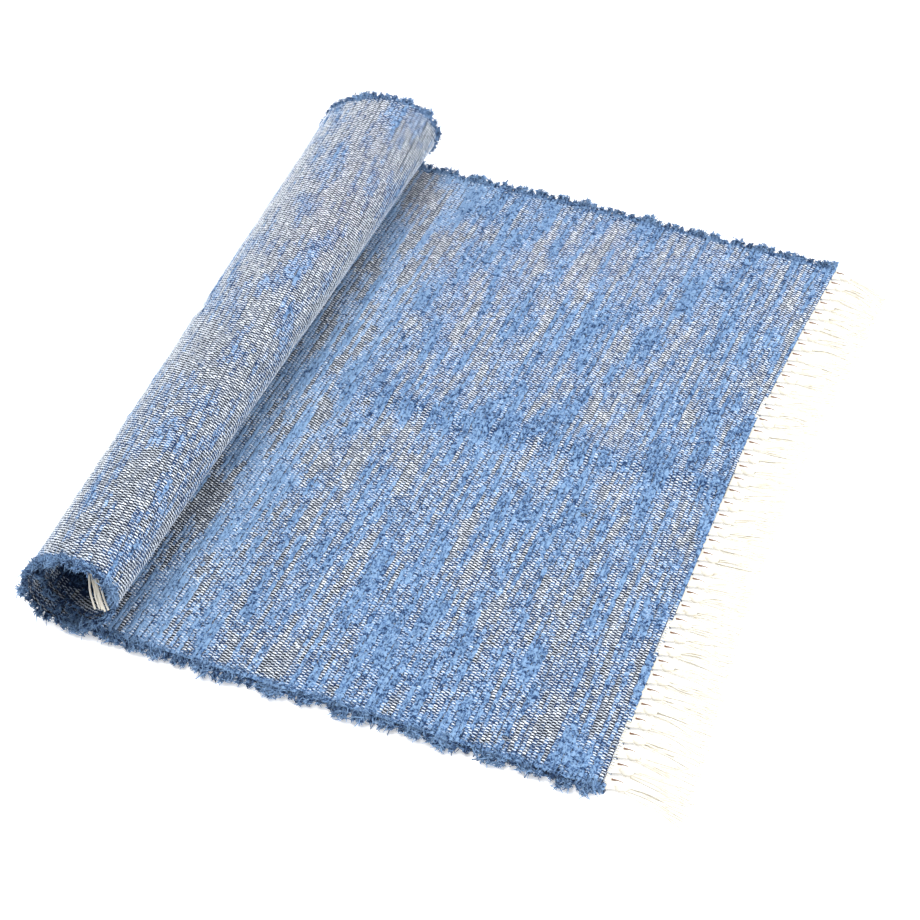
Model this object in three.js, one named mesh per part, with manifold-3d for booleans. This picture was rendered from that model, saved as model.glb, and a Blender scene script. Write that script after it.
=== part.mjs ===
// A hand-woven cotton rug that lies on the floor with one end wound into a loose roll.
// Millimetres, +Z up. X runs along the warp, from the roll (-X) to the open fringe (+X).
// Y runs along the weft, from the near selvedge (-Y) to the far one (+Y).
// While it is built, x = 0 is the woven edge at the open fringe and z = 0 is the floor.
import * as THREE from "three";
import Module from "manifold-3d";

const wasm = await Module();
wasm.setup();

// Cloth
const CLOTH_LENGTH = 762; // woven length along the warp, without the fringes
const CLOTH_THICKNESS = 6;
const HALF_THICKNESS = CLOTH_THICKNESS / 2;
const ALONG_STEP = 6; // distance between the cross-sections of the cloth
const OUTER_GAP = 0.3; // between the cloth's flat edge and its fringe
const INNER_GAP = 1.1; // between the cloth's twisted inner edge and its fringe

// Where the selvedges run: distance along the cloth, and Y of its two edges without tufts
const SELVEDGE = [
  { along: 0, near: -291, far: 292 },
  { along: 400, near: -295, far: 304 },
  { along: 640, near: -295, far: 304 },
  { along: 675, near: -283, far: 304 },
  { along: 725, near: -283, far: 305 },
  { along: CLOTH_LENGTH, near: -287, far: 306 },
];

// Lumpy tufts where the soft weft turns back at the selvedges
const TUFT_PITCH = 24;
const TUFT_DEPTH = 6; // how far a tuft stands out past the selvedge
const TUFT_INSET = 5; // where the edge starts to round off
const TUFT_BULGE = 2; // extra thickness on the upper face
const TUFT_NOSE = 1.6; // half the height of the blunt outer end
const TUFT_NOTCH = 0.3; // share of the depth that is left between two tufts
const TUFT_DRIFT = 0.35; // share of the pitch by which the tufts are out of step
const TUFT_VARIETY = 0.2; // share by which their depths differ

// Bow of the woven edge at the open fringe, fading out along the cloth
const EDGE_BOW = [
  { y: -300, out: 10 },
  { y: -180, out: 4 },
  { y: -60, out: 0 },
  { y: 80, out: -5 },
  { y: 200, out: -2 },
  { y: 300, out: 3 },
];
const BOW_REACH = 250;

// The roll at its two mouths: the middle and the half sizes of its outermost centre line,
// and how far it leans towards the flat part for each millimetre of height
const ROLL = [
  { y: -300, centre: -414.5, halfWidth: 41, halfHeight: 41.2, lean: 0.31 },
  { y: 300, centre: -436.8, halfWidth: 58, halfHeight: 40.2, lean: 0.31 },
];
const LAYER_PITCH = 9; // from one wound layer to the next
const WIND_STEP = 0.004; // radians, for measuring along the winding

// Old fold across the middle of the width: a low ridge on the upper face
const FOLD = { y: 10, height: 3, nearReach: 14, farReach: 34 };
const FOLD_FADE = { start: 300, end: 370 }; // pressed flat near the roll and under it
const FOLD_ON_ROLL = 0.7;

// Cloth columns as shares of the width; those beside the fold carry its ridge
const COLUMNS = [0, 0.12, 0.25, 0.37, 0.488, 0.512, 0.568, 0.67, 0.78, 0.88, 0.945, 1];

// Knotted fringes: a strip of bare warp, a row of knots and the strands below each knot
const KNOTS = 42;
const KNOT_MARGIN = 7; // from a selvedge to the middle of the first knot
const STRIP_LENGTH = 5.6;
const STRIP_LIFT = 0.3; // of the open fringe's strip off the floor
const STRIP_THICKNESS = 1.8;
const KNOT_RINGS = [
  { along: 5, halfWidth: 2.4, base: 0.5, top: 1.2 },
  { along: 10, halfWidth: 4.4, base: 0, top: 6 },
  { along: 15, halfWidth: 3.7, base: 0, top: 3 },
];
const STRAND_WIDTH = 1.8;
const STRAND_HEIGHT = 2;
const STRAND_START = 14.4; // just inside the knot's end
const STRAND_STATIONS = [0, 0.45, 1]; // shares of a strand's length where it has a cross-section
const STRAND_TAPER = 0.25; // share of its width that a strand loses towards its end
const STRAND_CURVE = 0.3; // share of its slant that a strand takes on as a curve
const UNEVEN_ENDS = 3; // how far the strands' ends differ
const KNOT_CROWN = 0.6; // width of a knot's top as a share of its base
const KNOT_VARIETY = 0.1; // share by which the knots' sizes differ
const LIFT_VARIETY = 0.2; // share by which the strands' heights at the knots differ
// Strands of a tassel: place across the knot's end, and height off the floor there
const OUTER_STRANDS = [
  { across: -2.5, lift: 0.35 },
  { across: 0, lift: 0.75 },
  { across: 2.5, lift: 0.5 },
];
const INNER_STRANDS = [-1.5, 1.5];
const FAN = 2.1; // degrees of spread for each millimetre off the knot's middle
const WAVER = 1.6; // degrees that neighbouring tassels differ

// How the open fringe lies: Y, slant of the tassels in degrees, and their reach along X
const FRINGE_LIE = [
  { y: -300, slant: -6, reach: 64 },
  { y: -220, slant: -5, reach: 61 },
  { y: -120, slant: 6, reach: 54 },
  { y: 0, slant: 14, reach: 52 },
  { y: 120, slant: 10, reach: 56 },
  { y: 200, slant: 2, reach: 56 },
  { y: 255, slant: -12, reach: 54 },
  { y: 300, slant: -26, reach: 52 },
];

// The hidden fringe hangs inside the roll
const INNER_STEPS = 3;
const INNER_STEP = 7.6;
const DROOP = 0.8; // share of the way to straight down that a strand turns at each step
const MOST_TURN = Math.PI / 3; // in one step

// Value of a table's column at a place, straight between its rows
function lookUp(rows, key, place, column) {
  const next = rows.findIndex((row) => row[key] >= place);
  if (next === 0) return rows[0][column];
  if (next < 0) return rows[rows.length - 1][column];
  const [low, high] = [rows[next - 1], rows[next]];
  const share = (place - low[key]) / (high[key] - low[key]);
  return THREE.MathUtils.lerp(low[column], high[column], share);
}

const smooth = THREE.MathUtils.smoothstep;

// The wound centre line at one Y: its point at a turning angle counted from the floor
function woundPoint(roll, angle) {
  const drawn = (LAYER_PITCH * angle) / (2 * Math.PI);
  const middle = roll.halfHeight + HALF_THICKNESS;
  const z = middle - (roll.halfHeight - drawn) * Math.cos(angle);
  const x = roll.centre - (roll.halfWidth - drawn) * Math.sin(angle);
  return { x: x + roll.lean * (z - middle), z };
}

// The cloth's cross-section at one Y: for a distance along the cloth it gives the centre
// line's point, its direction and the normal of the upper face
function sectionAt(y) {
  const roll = {};
  for (const column of ["centre", "halfWidth", "halfHeight", "lean"]) {
    roll[column] = lookUp(ROLL, "y", y, column);
  }
  const start = woundPoint(roll, 0);
  const flatLength = -start.x;
  const bow = lookUp(EDGE_BOW, "y", y, "out");
  return (along) => {
    if (along <= flatLength) {
      const x = -along + bow * Math.max(0, 1 - along / BOW_REACH);
      const fold = 1 - smooth(along, FOLD_FADE.start, FOLD_FADE.end);
      return { x, z: HALF_THICKNESS, tangent: [-1, 0], normal: [0, 1], fold };
    }
    let angle = 0;
    let point = start;
    let next = start;
    for (let run = flatLength; run < along; ) {
      point = next;
      angle += WIND_STEP;
      next = woundPoint(roll, angle);
      run += Math.hypot(next.x - point.x, next.z - point.z);
    }
    const step = Math.hypot(next.x - point.x, next.z - point.z);
    const tangent = [(next.x - point.x) / step, (next.z - point.z) / step];
    const fold = FOLD_ON_ROLL * smooth(angle, Math.PI / 4, Math.PI / 2);
    return { x: next.x, z: next.z, tangent, normal: [tangent[1], -tangent[0]], fold };
  };
}

// Height of the fold's ridge at a Y
function foldRidge(y) {
  const off = y - FOLD.y;
  const reach = off < 0 ? FOLD.nearReach : FOLD.farReach;
  const share = Math.max(0, 1 - Math.abs(off) / reach);
  return FOLD.height * share * share * (3 - 2 * share);
}

// How far the tufts stand out at a distance along one selvedge (0 near, 1 far)
function tuftDepth(along, side) {
  const beat = along / TUFT_PITCH + TUFT_DRIFT * Math.sin(0.037 * along + 2.1 * side);
  const lump = TUFT_NOTCH + (1 - TUFT_NOTCH) * Math.abs(Math.sin(Math.PI * beat));
  const size = 1 - TUFT_VARIETY + TUFT_VARIETY * Math.sin(0.11 * along + 1.3 * side);
  return TUFT_DEPTH * lump * size;
}

// A point of the cloth: lifted along the upper face's normal from the centre line
function clothPoint(section, along, y, lift) {
  const at = section(along);
  const raised = lift + at.fold * foldRidge(y);
  return [at.x + raised * at.normal[0], y, at.z + raised * at.normal[1]];
}

// A closed geometry through rings with the same number of points
function loft(rings) {
  const count = rings[0].length;
  const index = [];
  for (let r = 0; r + 1 < rings.length; r++) {
    for (let i = 0; i < count; i++) {
      const a = r * count + i;
      const b = r * count + ((i + 1) % count);
      index.push(a, b, a + count, b, b + count, a + count);
    }
  }
  const last = (rings.length - 1) * count;
  for (let low = 0, high = count - 1; high - low > 1; low++, high--) {
    index.push(low, high, low + 1, last + low, last + low + 1, last + high);
    if (high - low > 2) {
      index.push(low + 1, high, high - 1, last + low + 1, last + high - 1, last + high);
    }
  }
  const geometry = new THREE.BufferGeometry();
  geometry.setAttribute("position", new THREE.Float32BufferAttribute(rings.flat(2), 3));
  geometry.setIndex(index);
  return geometry;
}

// A solid of a closed geometry, turned so that its faces point out
function solidOf(geometry) {
  const mesh = {
    numProp: 3,
    vertProperties: geometry.attributes.position.array,
    triVerts: new Uint32Array(geometry.index.array),
  };
  const solid = new wasm.Manifold(new wasm.Mesh(mesh));
  if (solid.volume() > 0) return solid;
  mesh.triVerts.reverse();
  return new wasm.Manifold(new wasm.Mesh(mesh));
}

// A geometry of the pieces joined into one solid
function joined(geometries) {
  let solid = solidOf(geometries[0]);
  for (const geometry of geometries.slice(1)) solid = solid.add(solidOf(geometry));
  const mesh = solid.getMesh();
  const geometry = new THREE.BufferGeometry();
  geometry.setAttribute("position", new THREE.BufferAttribute(mesh.vertProperties, 3));
  geometry.setIndex(new THREE.BufferAttribute(mesh.triVerts, 1));
  geometry.computeVertexNormals();
  return geometry;
}

// Y of a cloth column at a distance along the cloth
function columnY(along, share) {
  const near = lookUp(SELVEDGE, "along", along, "near") + TUFT_INSET;
  const far = lookUp(SELVEDGE, "along", along, "far") - TUFT_INSET;
  return THREE.MathUtils.lerp(near, far, share);
}

const columnSections = COLUMNS.map((share) => sectionAt(columnY(SELVEDGE[1].along, share)));
const lastColumn = COLUMNS.length - 1;

// The cloth: one closed loop over the upper face, the far edge, the underside and the near edge
// for each distance along it
function clothGeometry() {
  const rings = [];
  for (let along = 0; along <= CLOTH_LENGTH; along += ALONG_STEP) {
    const nearTip = lookUp(SELVEDGE, "along", along, "near") - tuftDepth(along, 0);
    const farTip = lookUp(SELVEDGE, "along", along, "far") + tuftDepth(along, 1);
    const upper = columnSections.map((section, c) => {
      const bulge = c === 0 || c === lastColumn ? TUFT_BULGE : 0;
      return clothPoint(section, along, columnY(along, COLUMNS[c]), HALF_THICKNESS + bulge);
    });
    const under = columnSections.map((section, c) =>
      clothPoint(section, along, columnY(along, COLUMNS[c]), -HALF_THICKNESS),
    );
    rings.push([
      clothPoint(columnSections[0], along, nearTip, TUFT_NOSE),
      ...upper,
      clothPoint(columnSections[lastColumn], along, farTip, TUFT_NOSE),
      clothPoint(columnSections[lastColumn], along, farTip, -TUFT_NOSE),
      ...under.reverse(),
      clothPoint(columnSections[0], along, nearTip, -TUFT_NOSE),
    ]);
  }
  return joined([loft(rings)]);
}

// A point at any Y, straight between the cloth columns on its two sides
function betweenColumns(along, y, lift) {
  const places = COLUMNS.map((share) => columnY(along, share));
  const found = places.findIndex((place) => place >= y);
  const high = found < 0 ? lastColumn : Math.max(found, 1);
  const low = high - 1;
  const share = THREE.MathUtils.clamp((y - places[low]) / (places[high] - places[low]), 0, 1);
  const start = clothPoint(columnSections[low], along, places[low], lift);
  const end = clothPoint(columnSections[high], along, places[high], lift);
  const mix = (axis) => THREE.MathUtils.lerp(start[axis], end[axis], share);
  return [mix(0), y, mix(2)];
}

// Y of each knot along a fringe
function knotPlaces(along) {
  const first = lookUp(SELVEDGE, "along", along, "near") + KNOT_MARGIN;
  const last = lookUp(SELVEDGE, "along", along, "far") - KNOT_MARGIN;
  const places = [];
  for (let k = 0; k < KNOTS; k++) {
    places.push(THREE.MathUtils.lerp(first, last, k / (KNOTS - 1)));
  }
  return places;
}

// The four-sided outlines along a knot, broad and flat below
function knotOutlines(knot) {
  const size = 1 + KNOT_VARIETY * Math.sin(1.7 * knot);
  return KNOT_RINGS.map(({ along, halfWidth, base, top }) => ({
    along,
    middle: (size * (base + top)) / 2,
    corners: [
      { across: -size * halfWidth, up: size * base },
      { across: size * halfWidth, up: size * base },
      { across: KNOT_CROWN * size * halfWidth, up: size * top },
      { across: -KNOT_CROWN * size * halfWidth, up: size * top },
    ],
  }));
}

// The open fringe, level on the floor
function outerFringeGeometry() {
  const wovenEdge = columnSections.map((section, c) => ({
    y: columnY(0, COLUMNS[c]),
    out: section(0).x,
  }));
  const edge = (y) => lookUp(wovenEdge, "y", y, "out");
  const places = knotPlaces(0);
  const strip = wovenEdge.map(({ y, out }) => [
    [out + OUTER_GAP, y, STRIP_LIFT],
    [out + STRIP_LENGTH, y, STRIP_LIFT],
    [out + STRIP_LENGTH, y, STRIP_LIFT + STRIP_THICKNESS],
    [out + OUTER_GAP, y, STRIP_LIFT + STRIP_THICKNESS],
  ]);
  const pieces = [loft(strip)];
  places.forEach((y, k) => {
    const rings = knotOutlines(k).map(({ along, corners }) =>
      corners.map(({ across, up }) => [edge(y) + along, y + across, up]),
    );
    pieces.push(loft(rings));
    const lie = lookUp(FRINGE_LIE, "y", y, "slant") + WAVER * Math.sin(2.4 * k);
    const reach = lookUp(FRINGE_LIE, "y", y, "reach");
    OUTER_STRANDS.forEach(({ across, lift }, j) => {
      const tipReach = reach - UNEVEN_ENDS * Math.abs(Math.sin(1.9 * k + 2.7 * j)) - STRAND_START;
      const bend = THREE.MathUtils.degToRad(lie + FAN * across);
      const stations = STRAND_STATIONS.map((share) => {
        const x = edge(y) + STRAND_START + tipReach * share;
        const curved = share * (1 - STRAND_CURVE + STRAND_CURVE * share);
        const sideways = tipReach * Math.tan(bend) * curved;
        const half = (STRAND_WIDTH / 2) * (1 - STRAND_TAPER * share);
        const middle = y + across + sideways;
        const base = share === 0 ? lift * (1 + LIFT_VARIETY * Math.sin(1.3 * k)) : 0;
        return [
          [x, middle - half, base],
          [x, middle + half, base],
          [x, middle, base + STRAND_HEIGHT],
        ];
      });
      pieces.push(loft(stations));
    });
  });
  return joined(pieces);
}

// A strand of the hidden fringe: it leaves its knot along the cloth and turns down
function hangingStrand(y) {
  const before = betweenColumns(CLOTH_LENGTH + STRAND_START - 1, y, 0);
  let [x, , z] = betweenColumns(CLOTH_LENGTH + STRAND_START, y, 0);
  let heading = Math.atan2(z - before[2], x - before[0]);
  const half = STRAND_WIDTH / 2;
  const rise = STRAND_HEIGHT / 2;
  const stations = [];
  for (let step = 0; step <= INNER_STEPS; step++) {
    const across = [rise * Math.sin(heading), -rise * Math.cos(heading)];
    stations.push([
      [x - across[0], y - half, z - across[1]],
      [x - across[0], y + half, z - across[1]],
      [x + across[0], y, z + across[1]],
    ]);
    heading -= Math.min(DROOP * (heading + Math.PI / 2), MOST_TURN);
    x += INNER_STEP * Math.cos(heading);
    z += INNER_STEP * Math.sin(heading);
  }
  return loft(stations);
}

// The fringe of the wound end, hanging inside the roll
function innerFringeGeometry() {
  const start = CLOTH_LENGTH + INNER_GAP;
  const end = CLOTH_LENGTH + STRIP_LENGTH;
  const half = STRIP_THICKNESS / 2;
  const strip = COLUMNS.map((share) => {
    const y = columnY(CLOTH_LENGTH, share);
    return [
      betweenColumns(start, y, -half),
      betweenColumns(end, y, -half),
      betweenColumns(end, y, half),
      betweenColumns(start, y, half),
    ];
  });
  const pieces = [loft(strip)];
  knotPlaces(CLOTH_LENGTH).forEach((y, k) => {
    const rings = knotOutlines(k).map(({ along, middle, corners }) =>
      corners.map(({ across, up }) =>
        betweenColumns(CLOTH_LENGTH + along, y + across, up - middle),
      ),
    );
    pieces.push(loft(rings));
    for (const across of INNER_STRANDS) pieces.push(hangingStrand(y + across));
  });
  return joined(pieces);
}

const blueCotton = new THREE.MeshStandardMaterial({ color: 0x6f8fc4, roughness: 0.95, metalness: 0 });
const openFringeCotton = new THREE.MeshStandardMaterial({ color: 0xf1ede0, roughness: 0.9, metalness: 0 });
const hiddenFringeCotton = openFringeCotton.clone();

const laid = new THREE.Group();
for (const [name, geometry, material] of [
  ["rug", clothGeometry(), blueCotton],
  ["fringe_outer", outerFringeGeometry(), openFringeCotton],
  ["fringe_inner", innerFringeGeometry(), hiddenFringeCotton],
]) {
  const mesh = new THREE.Mesh(geometry, material);
  mesh.name = name;
  laid.add(mesh);
}

// The origin is the middle of the footprint, on the floor
const box = new THREE.Box3().setFromObject(laid);
laid.position.set(-(box.min.x + box.max.x) / 2, -(box.min.y + box.max.y) / 2, -box.min.z);

const group = new THREE.Group();
group.add(laid);

export default group;
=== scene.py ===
"""Looks of a hand-woven blue cotton rug that lies flat with one end wound into a loose roll.

The cloth is a plain weave: a thin white cotton warp and a soft blue chenille weft. Each place on it has
a distance along the warp, a Y across it and a lift off the cloth's centre line, all in millimetres in
the working frame of the part: x = 0 at the woven edge of the open fringe, z = 0 on the floor. Meshes are
put into the part's frame, in metres, when they are made. The upper face of the cloth is face 1, the under
one, which is the outside of the roll, is face -1.
"""

import math

import bpy
import numpy as np
from mathutils import Matrix, Vector


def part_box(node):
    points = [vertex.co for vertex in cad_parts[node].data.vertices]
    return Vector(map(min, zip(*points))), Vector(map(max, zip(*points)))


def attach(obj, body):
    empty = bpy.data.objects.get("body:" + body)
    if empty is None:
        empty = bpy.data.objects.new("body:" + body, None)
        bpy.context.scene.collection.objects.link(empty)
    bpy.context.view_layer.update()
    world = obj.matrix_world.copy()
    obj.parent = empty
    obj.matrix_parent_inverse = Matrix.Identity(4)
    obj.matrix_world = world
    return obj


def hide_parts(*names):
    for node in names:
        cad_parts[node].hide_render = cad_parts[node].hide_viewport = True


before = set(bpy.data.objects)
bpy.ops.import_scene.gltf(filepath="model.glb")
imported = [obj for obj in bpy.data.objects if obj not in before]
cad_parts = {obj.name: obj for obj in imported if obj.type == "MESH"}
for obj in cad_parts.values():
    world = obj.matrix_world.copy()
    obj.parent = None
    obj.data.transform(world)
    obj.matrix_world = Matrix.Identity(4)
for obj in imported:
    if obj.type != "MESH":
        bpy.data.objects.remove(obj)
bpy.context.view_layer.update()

SEED = 7
LATTICE = 256  # cells of the random patches, before they repeat
TINY = 1e-9  # keeps a division from failing

# Cloth, as in the part unless it says otherwise
CLOTH_LENGTH = 762
CLOTH_WIDTH = 600
HALF_THICKNESS = 3
PART_STEP = 6  # distance between the part's own cross-sections
SELVEDGE = {
    "along": [0, 400, 640, 675, 725, 762],
    "near": [-291, -295, -295, -283, -283, -287],
    "far": [292, 304, 304, 304, 305, 306],
}
FAR_DRAWN_IN = {"along": [430, 480, 560, 620], "more": [0, 8, 7, 1]}  # further in than in the part
TUFT_PITCH = 24
TUFT_DEPTH = 6
TUFT_INSET = 5
TUFT_NOTCH = 0.3
TUFT_DRIFT = 0.35
TUFT_VARIETY = 0.2
TUFT_WAVES = {"drift": (0.037, 2.1), "depth": (0.11, 1.3)}  # turn for each millimetre, and for the side
EDGE_BOW = {"y": [-300, -180, -60, 80, 200, 300], "out": [10, 4, 0, -5, -2, 3]}
BOW_REACH = 250
ROLL = {
    "y": [-300, 300],
    "centre": [-414.5, -436.8],
    "half_width": [41, 58],
    "half_height": [41.2, 40.2],
    "lean": [0.31, 0.31],
}
LAYER_PITCH = 9
WIND_STEP = 0.004
MOST_WINDING = 4 * math.pi  # more than the cloth reaches
FOLD = {"y": 10, "height": 3, "near_reach": 14, "far_reach": 34}
FOLD_FADE = (300, 370)
FOLD_ON_ROLL = 0.3  # lower than in the part
FOLD_BACK = (math.pi / 4, math.pi / 2)  # turns of the roll between which the fold comes back

# Weave
WARP_PITCH = 1.25
WEFT_PITCH = 3.49
WARP_ENDS = (-236, 244)  # their numbers, from the near selvedge to the far one
WEFT_WAVE = 0.35  # share of the pitch by which a weft wanders
WAVE_LAYER = {"cells": 1.37, "length": (26, 26), "shift": 0, "start": (5, 11), "seed": 4}
SHEET_HALF = 2.1  # half the thickness of the sheet that carries the yarns
EDGE_CLOSED = 0.3  # share of that thickness which is left at the selvedges
END_CLOSED = 0.35  # and at the thin end that the open fringe comes out of
END_THIN = 1  # length of that end
UV_START = 1000  # an even number of warp ends that keeps the texture's places above zero
SHEET_COLUMN = 12  # distance between the sheet's columns
FOLD_COLUMN = 4  # the same beside the fold
FLOAT_HALF_LENGTH = 1.95  # a float is the stretch of a warp yarn that passes over one weft
FLOAT_HALF_WIDTH = 0.45
FLOAT_ON_ROLL = 0.9  # how much narrower the floats are where the cloth is bent outwards
FLOAT_SLANT = 0.08  # how far a float goes aside for each millimetre along the cloth
FLOAT_LIFTS = (1.7, 2.6, 3.0)  # at its ends, its sides and its top
FLOAT_LIFTED = 0.04  # share of the lifts that goes with a float's size
FLOAT_BURIED = 0.35  # share of a float's width that the pile hides where it is thickest
FLOAT_MARGIN = 3  # nearer to a selvedge there are none
FLOAT_STRAY = {"y": 0.16, "along": 0.3, "size": 0.35, "length": 0.1}  # how much they differ
FLOAT_SIZES = (0.35, 1.6)  # least and most
VEIL_POWER = 1.5  # more leaves the floats whiter under thin pile
SLUB_SHARE = 0.006  # share of the floats that are thick places of the yarn
SLUB_SIZE = 1.8
FLOAT_SHAPE = np.array(
    [
        (-1, 0, 0),
        *((place, side, 2 - abs(side)) for place in (-0.5, 0.5) for side in (-1, 0, 1)),
        (1, 0, 0),
    ]
)  # share of the half length, share of the half width, and which lift
FLOAT_FACES = np.array(
    [(0, 1, 2), (0, 2, 3), (1, 4, 5), (1, 5, 2), (2, 5, 6), (2, 6, 3), (4, 7, 5), (5, 7, 6)]
)
MOUTH_DEPTH = 70  # how far the weave is modelled into the roll's two mouths
OUTER_TURN = 6.2  # radians of the roll's outer turn that show

# Soft weft that covers the floats in patches
PILE_STEP = 2.0
PILE_Y = (-300, 306)
PILE_PAST_EDGE = 1  # how far the pile goes past a selvedge
PILE = {"cover": [0, 0.7, 1], "half_width": [1.2, 1.65, 1.85], "lift": [2.3, 2.75, 3.5]}
PILE_SECTION = np.array([(-1, 0.2), (0, 1), (1, 0.2)])  # share of the half width, and of the height
PILE_STRAY = {"width": 0.16, "height": 0.2, "lean": 0.3, "tone_and_shade": 0.26}  # how much it differs
PILE_TONE = {"least": -0.26, "thick": 0.95}  # without cover, and how much more under full cover
PILE_SHADE_ACROSS = np.array([-0.12, 0.06, -0.12])  # added to the tone at the sides and the top of a run: painted shade on the sides, painted light on the top
PILE_OVER = 1  # how far the pile may stand over the cloth's faces
OFF_THE_FLOOR = 0.6  # from this turn of the roll on there is room for it under the cloth
PILE_LEAST = 0.2  # thinner pile isn't modelled
PILE_HIDES = 0.85  # thicker pile hides the floats
MOUTH_PILE_PAINTED_SHADE = -0.5  # painted shade: how much darker the pile is inside the roll
FUZZ_TRIES = {"flat": 110000, "roll": 60000}  # places tried, of which those on pile are kept
FUZZ_Y = (-300, 305)
FUZZ_STRAY = 0.7  # off the middle of its weft
FUZZ_LENGTH = 2.4
FUZZ_LENGTHS = (0.5, 1.2)  # shares of it, least and most
FUZZ_HALF_WIDTH = 0.42
FUZZ_WIDTHS = (0.6, 1.3)
FUZZ_ROOT = 0.2  # below the top of the pile
FUZZ_RISE = (0.2, 0.8)
FUZZ_TONES = (0.1, 0.8)
FUZZ_TIP_PAINTED_LIGHT = 0.2  # painted light: how much lighter the tips are than the roots down in the pile
SELVEDGE_COVER = 6  # at the selvedges the pile covers everything over about this width
SELVEDGE_MORE = 1.3  # cover at the very edge, before it is cut to 1
WEFTS_INTO_ROLL = 4  # how far past the crease the flat part's weave goes
WEFTS_BEFORE_ROLL = 4  # how far before it the roll's weave starts
WEFTS_TO_FUZZ = 8  # how far past it the roll's fuzz starts, which needs room over the floor

# Small holes in the weave, as distance along the cloth and Y
HOLES = [(332, -73), (98, -56), (22, -235), (77, -276)]
HOLE_RADIUS = 2.3

# How thick the pile is along the cloth, from 0 to 1. Towards the roll's crease it thins, partly as a
# paler band of the weave and partly as painted light, and the pile's tone is lifted there as painted
# light against the shade that the roll throws
COVER = {
    "along": [0, 310, 345, 400],
    "flat": [0.6, 0.56, 0.5, 0.45],
    "painted_shading": [0, 0.04, 0.42, 0.65],
}
COVER_ON_ROLL = 0.24
COVER_UNDER = 0.4
COVER_CONTRAST = 2.6  # more makes the patches' edges sharper
CONTRAST_ON_ROLL = 2.1
COVER_MIDDLE = 0.57  # about the middle of the layers' sum
COVER_LAYERS = [
    {"cells": 1.37, "length": (5, 5), "shift": 40, "start": (0, 50), "seed": 1, "share": 0.16},
    {"cells": 1.37, "length": (34, 18), "shift": 17, "start": (0, 20), "seed": 2, "share": 0.42},
    {"cells": 1 / 2.2, "length": (26, 26), "shift": 17, "start": (0, 70), "seed": 5, "share": 0.28},
    {"cells": 1 / 5, "length": (70, 70), "shift": 0, "start": (60, 9), "seed": 3, "share": 0.28},
]  # cells for each weft, length along Y on the upper and under face, place on the lattice and weight
# Painted shade and light along the fold: more pile cover and a darker tone on its crest and far slope,
# less cover and a lighter tone just in front of it
FOLD_PAINTED_SHADING = {
    "y": [-40, -15, 0, 12, 28, 48],
    "more": [0, -0.12, 0.06, 0.17, 0.12, 0],
    "painted_shading": [0, 0.1, -0.03, -0.12, -0.1, 0],
}
COVER_AND_SHADE_IN_MOUTH = {"depth": [0, 12, 20], "level": [0.2, 0.2, 1.6]}  # by the distance from the selvedge; deeper in, full dark pile over the inner face is painted shade inside the roll

# Selvedges: the weft turns back in loops with curly fibres
LOOP_WEFTS = 2
LOOP_STATIONS = 9
LOOP_SIDES = 6
LOOP_RADIUS = 1.5
LOOP_ROOT = 6  # how far inside the edge a loop starts
LOOP_LIFT = {"root": 0.4, "lump": 2.3}  # off the centre line, and how much more on a full lump
LOOP_STRAY = {"depth": 1.2, "lift": 0.5, "radius": 0.12}  # how much the loops differ
# The loops are dark deep blue: painted shade inside the tufts
LOOP_PAINTED_SHADE = 0.05
CREASE_TURN = 12  # over this distance the tufts change from one face to the other
LOOP_LEAN = 2.5  # how far the loops of a lump lean together
LOOP_NOTCH = 0.35  # share of the part's notches between the lumps that the loops fill
LOOP_LENGTH = {
    "along": [0, 380, 430, 460, 560, 620, 762],
    "near": [1.5, 1.5, 1.2, 0.9, 0.9, 0.9, 0.9],
    "far": [0.9, 0.9, 0.9, 0.4, 0.4, 0.7, 0.8],
}  # how far they reach out, as a share of the part's tufts
FIBRES_A_LOOP = 90
FIBRE_LENGTH = 5
FIBRE_LENGTHS = (0.5, 1.2)  # shares of it, least and most
FIBRE_IN_NOTCH = 0.6  # share of it that doesn't go with the lumps
FIBRE_OUTWARD = 0.7  # how strongly they head out and up
FIBRE_CURL = 0.4  # share of the length by which they bend aside
FIBRE_BENDS = 1.4  # half turns of the bend along a fibre
FIBRE_PAST_END = 3  # how far they may go past the open end
# Fibre tone: darker in the notches between the lumps and at the roots, lighter at the tips, as painted
# shade and light; its spread is random
FIBRE_TONE_AND_SHADE = {"least": -0.55, "lump": 0.9, "spread": 0.5, "tip": 0.7}
FIBRE_WIDTHS = np.array([0.48, 0.48, 0.4, 0.15])  # half its width, from its root to its tip
FIBRE_STATIONS = len(FIBRE_WIDTHS)

# Fringes, as in the part
KNOTS = 42
KNOT_MARGIN = 7
FRINGE_LIE = {
    "y": [-300, -220, -120, 0, 120, 200, 255, 300],
    "slant": [-6, -5, 6, 14, 10, 2, -12, -26],
    "reach": [64, 61, 54, 52, 56, 56, 54, 52],
}
FAN = 2.1
WAVER = 1.6
WAVER_BEAT = 2.4  # radians from one knot to the next
KNOT_START = 5
KNOT_END = 15
KNOT_HALF_WIDTH = 4.2
KNOT_TOP = 5.6
INNER_STEPS = 3
INNER_STEP = 7.6
DROOP = 0.8
MOST_TURN = math.pi / 3

# Yarns of the fringes
STEEP = 0.9  # share of a path's length that it rises, from which its sides are taken from X and not Z
YARNS = 11
YARN_RADIUS = 0.6
YARN_SIDES = 5
YARN_SPREAD = (np.arange(YARNS) - (YARNS - 1) / 2) / YARNS  # across a knot, from about -0.5 to 0.5
BAND_STATIONS = 4
BAND_INSIDE = 3  # how far inside the cloth's edge the bare warp starts
BAND_LENGTH = 9.5
BAND_GATHER = 0.62  # share of its width that it loses up to the knot
BAND_TOP = 4.6
BAND_DROP = 2.0
TAIL_STATIONS = 9
TAIL_IN_KNOT = 2  # how far inside its knot a tail starts
TAIL_UNEVEN = 5  # most that a yarn is shorter than its tassel
TAIL_SPREAD = 1.6  # width of a tassel at its knot, in half widths of the knot
TAIL_FAN = 1.25  # how much more the yarns fan out than the part's strands
TAIL_STRAY = {"bend": 2.2, "wave": 1.1}  # in degrees, and in millimetres
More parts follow.
